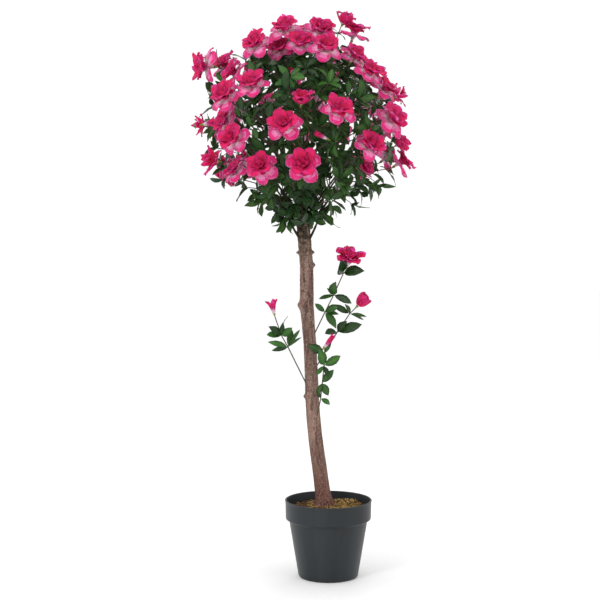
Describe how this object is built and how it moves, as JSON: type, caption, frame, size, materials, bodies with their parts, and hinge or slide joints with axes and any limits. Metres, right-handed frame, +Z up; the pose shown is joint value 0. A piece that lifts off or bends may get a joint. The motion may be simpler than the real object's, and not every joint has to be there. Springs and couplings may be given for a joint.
{
  "type": "artificial azalea tree",
  "caption": "Artificial azalea tree: a round crown of crimson blooms and dark leaves on one bare, leaning trunk with a few sprouts, standing in a plain round nursery pot.",
  "frame": {"origin": "middle of the pot's flat underside", "axes": "+Z up along the pot's axis; the front as pictured faces -Y, with +X to the viewer's right"},
  "size_m": [0.4958, 0.4893, 1.22],
  "materials": {
    "pot": "moulded, low sheen",
    "fill": "cast, dull",
    "wood_wool": "dry curled strands",
    "bark": "natural bark, matte",
    "stem": "plastic-covered wire",
    "leaf": "coated cloth, soft sheen",
    "bloom": "dyed cloth, matte"
  },
  "bodies": {
    "root": {"pot": "pot", "pot_fill": "fill", "wood_wool": "wood_wool", "trunk": "bark", "bough_top_left": "stem", "bough_top_front": "stem", "bough_top_right": "stem", "bough_right_upper": "stem", "bough_right_middle": "stem", "bough_right_low": "stem", "bough_front_high": "stem", "bough_front_middle": "stem", "bough_front_low": "stem", "bough_left_top": "stem", "bough_left_upper": "stem", "bough_left_middle": "stem", "bough_left_low": "stem", "bough_back_top": "stem", "bough_back_left_high": "stem", "bough_back_right_high": "stem", "bough_back_middle": "stem", "bough_back_left_low": "stem", "bough_back_right_low": "stem", "bough_sprout_left": "stem", "bough_sprout_tall": "stem", "bough_sprout_middle": "stem", "bough_sprout_low": "stem", "top_left_spray": "bloom", "top_front_spray": "bloom", "top_right_spray": "bloom", "right_upper_spray": "bloom", "right_middle_spray": "bloom", "right_low_spray": "bloom", "front_high_spray": "bloom", "front_middle_spray": "bloom", "front_low_spray": "bloom", "left_top_spray": "bloom", "left_upper_spray": "bloom", "left_middle_spray": "bloom", "left_low_spray": "bloom", "back_top_spray": "bloom", "back_left_high_spray": "bloom", "back_right_high_spray": "bloom", "back_middle_spray": "bloom", "back_left_low_spray": "bloom", "back_right_low_spray": "bloom", "skirt_front_spray": "leaf", "skirt_right_spray": "leaf", "skirt_back_spray": "leaf", "skirt_left_spray": "leaf", "sprout_left": "leaf", "sprout_tall": "leaf", "sprout_middle": "leaf", "sprout_low": "leaf"}
  },
  "joints": []
}
